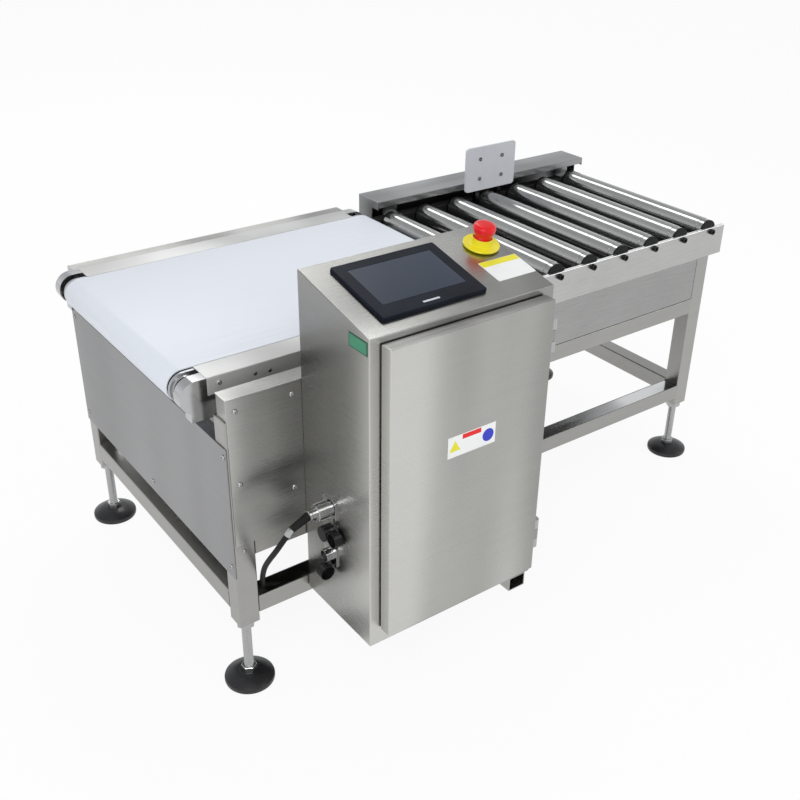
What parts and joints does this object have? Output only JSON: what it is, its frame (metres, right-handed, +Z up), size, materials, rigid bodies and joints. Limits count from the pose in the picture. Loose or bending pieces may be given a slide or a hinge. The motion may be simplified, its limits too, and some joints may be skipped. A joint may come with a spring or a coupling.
{
  "type": "checkweigher",
  "caption": "Stainless checkweigher: belt conveyor on a load cell, roller table with a side pusher, and a control cabinet with a screen and an emergency stop.",
  "frame": {"origin": "on the floor, under the middle of the machine's bounding box", "axes": "+X with the products from the weigh belt to the rollers, +Y from the cabinet side to the rear, +Z up"},
  "size_m": [1.398, 0.9424, 0.8369],
  "materials": {
    "frame_steel": "satin",
    "sheet_steel": "satin",
    "machined_steel": "smooth",
    "aluminium": "satin",
    "bracket_steel": "satin",
    "belt": "matt",
    "drive_belt": "matt",
    "motor_black": "satin",
    "roller_steel": "polished",
    "foot_black": "gloss",
    "gasket": "matt",
    "panel_navy": "gloss",
    "stop_yellow": "gloss",
    "stop_red": "gloss",
    "black_plastic": "matt",
    "zinc_plate": "satin",
    "cable_black": "matt"
  },
  "bodies": {
    "machine": {"belt_side_covers": "sheet_steel", "belt_side_plates": "machined_steel", "cabinet_body": "sheet_steel", "cabinet_hinges": "machined_steel", "cable_trays": "frame_steel", "controller": "black_plastic", "conveyor_belt": "belt", "drive_motor": "motor_black", "drum_bearings": "machined_steel", "dust_caps": "black_plastic", "estop_contacts": "black_plastic", "estop_ring": "stop_yellow", "guide_cover": "sheet_steel", "jam_nuts": "machined_steel", "load_cell": "aluminium", "motor_drive": "black_plastic", "mounting_plate": "zinc_plate", "nose_caps": "sheet_steel", "operator_panel": "panel_navy", "power_supply": "zinc_plate", "pusher_cylinder": "aluminium", "roller_axles": "machined_steel", "roller_rails": "sheet_steel", "signal_cable": "cable_black", "signal_plug": "machined_steel", "signal_sockets": "machined_steel", "skirt_panels": "sheet_steel", "slider_bed": "sheet_steel", "table_legs": "frame_steel", "table_rails": "frame_steel", "timing_belt": "drive_belt", "weigh_covers": "sheet_steel", "weigh_end_panels": "sheet_steel", "weigh_legs": "frame_steel", "weigh_platform": "aluminium", "weigh_rails": "frame_steel"},
    "pusher": {"pusher_carriage": "bracket_steel", "pusher_plate": "bracket_steel"},
    "door": {"cabinet_door": "sheet_steel", "door_gasket": "gasket"},
    "drive_drum": {"drive_drum": "machined_steel"},
    "tail_drum": {"tail_drum": "machined_steel"},
    "motor_pulley": {"motor_pulley": "aluminium"},
    "stop_stem": {"estop_stem": "black_plastic"},
    "stop_head": {"estop_head": "stop_red"},
    "roller_1": {"roller_1": "roller_steel"},
    "roller_2": {"roller_2": "roller_steel"},
    "roller_3": {"roller_3": "roller_steel"},
    "roller_4": {"roller_4": "roller_steel"},
    "roller_5": {"roller_5": "roller_steel"},
    "roller_6": {"roller_6": "roller_steel"},
    "roller_7": {"roller_7": "roller_steel"},
    "weigh_foot_front_left": {"weigh_foot_front_left": "foot_black"},
    "weigh_foot_front_right": {"weigh_foot_front_right": "foot_black"},
    "weigh_foot_rear_left": {"weigh_foot_rear_left": "foot_black"},
    "weigh_foot_rear_right": {"weigh_foot_rear_right": "foot_black"},
    "table_foot_front_left": {"table_foot_front_left": "foot_black"},
    "table_foot_front_right": {"table_foot_front_right": "foot_black"},
    "table_foot_rear_left": {"table_foot_rear_left": "foot_black"},
    "table_foot_rear_right": {"table_foot_rear_right": "foot_black"}
  },
  "joints": [
    {"name": "roller_1_spin", "type": "hinge", "parent": "machine", "child": "roller_1", "pos_m": [0.0829, 0.10075, 0.5942], "axis": [0, 1, 0], "continuous": true},
    {"name": "roller_2_spin", "type": "hinge", "parent": "machine", "child": "roller_2", "pos_m": [0.1781, 0.10075, 0.5942], "axis": [0, 1, 0], "continuous": true},
    {"name": "roller_3_spin", "type": "hinge", "parent": "machine", "child": "roller_3", "pos_m": [0.2733, 0.10075, 0.5942], "axis": [0, 1, 0], "continuous": true},
    {"name": "roller_4_spin", "type": "hinge", "parent": "machine", "child": "roller_4", "pos_m": [0.3685, 0.10075, 0.5942], "axis": [0, 1, 0], "continuous": true},
    {"name": "roller_5_spin", "type": "hinge", "parent": "machine", "child": "roller_5", "pos_m": [0.4637, 0.10075, 0.5942], "axis": [0, 1, 0], "continuous": true},
    {"name": "roller_6_spin", "type": "hinge", "parent": "machine", "child": "roller_6", "pos_m": [0.5589, 0.10075, 0.5942], "axis": [0, 1, 0], "continuous": true},
    {"name": "roller_7_spin", "type": "hinge", "parent": "machine", "child": "roller_7", "pos_m": [0.6541, 0.10075, 0.5942], "axis": [0, 1, 0], "continuous": true},
    {"name": "drive_drum_spin", "type": "hinge", "parent": "machine", "child": "drive_drum", "pos_m": [-0.005, 0.10075, 0.597], "axis": [0, 1, 0], "continuous": true},
    {"name": "tail_drum_spin", "type": "hinge", "parent": "machine", "child": "tail_drum", "pos_m": [-0.669, 0.10075, 0.597], "axis": [0, 1, 0], "continuous": true},
    {"name": "motor_pulley_spin", "type": "hinge", "parent": "machine", "child": "motor_pulley", "pos_m": [-0.108, 0.10075, 0.515], "axis": [0, 1, 0], "continuous": true},
    {"name": "pusher_stroke", "type": "slide", "parent": "machine", "child": "pusher", "axis": [0, -1, 0], "range_m": [0, 0.4]},
    {"name": "door_swing", "type": "hinge", "parent": "machine", "child": "door", "pos_m": [-0.1548, -0.45825, 0.48], "axis": [0, 0, 1], "range_deg": [0, 120]},
    {"name": "stop_press", "type": "slide", "parent": "machine", "child": "stop_stem", "axis": [0, 0.2149, -0.9766], "range_m": [0, 0.004]},
    {"name": "stop_reset", "type": "hinge", "parent": "stop_stem", "child": "stop_head", "pos_m": [-0.1855, -0.30361, 0.79294], "axis": [0, 0.2149, -0.9766], "range_deg": [0, 45], "stiffness_Nm_per_rad": 0.02},
    {"name": "weigh_foot_front_left_level", "type": "slide", "parent": "machine", "child": "weigh_foot_front_left", "axis": [0, 0, -1], "range_m": [0, 0.025]},
    {"name": "weigh_foot_front_right_level", "type": "slide", "parent": "machine", "child": "weigh_foot_front_right", "axis": [0, 0, -1], "range_m": [0, 0.025]},
    {"name": "weigh_foot_rear_left_level", "type": "slide", "parent": "machine", "child": "weigh_foot_rear_left", "axis": [0, 0, -1], "range_m": [0, 0.025]},
    {"name": "weigh_foot_rear_right_level", "type": "slide", "parent": "machine", "child": "weigh_foot_rear_right", "axis": [0, 0, -1], "range_m": [0, 0.025]},
    {"name": "table_foot_front_left_level", "type": "slide", "parent": "machine", "child": "table_foot_front_left", "axis": [0, 0, -1], "range_m": [0, 0.025]},
    {"name": "table_foot_front_right_level", "type": "slide", "parent": "machine", "child": "table_foot_front_right", "axis": [0, 0, -1], "range_m": [0, 0.025]},
    {"name": "table_foot_rear_left_level", "type": "slide", "parent": "machine", "child": "table_foot_rear_left", "axis": [0, 0, -1], "range_m": [0, 0.025]},
    {"name": "table_foot_rear_right_level", "type": "slide", "parent": "machine", "child": "table_foot_rear_right", "axis": [0, 0, -1], "range_m": [0, 0.025]}
  ],
  "couplings": [
    {"joint": "tail_drum_spin", "follows": "drive_drum_spin", "ratio": 1},
    {"joint": "motor_pulley_spin", "follows": "drive_drum_spin", "ratio": 1.5}
  ]
}
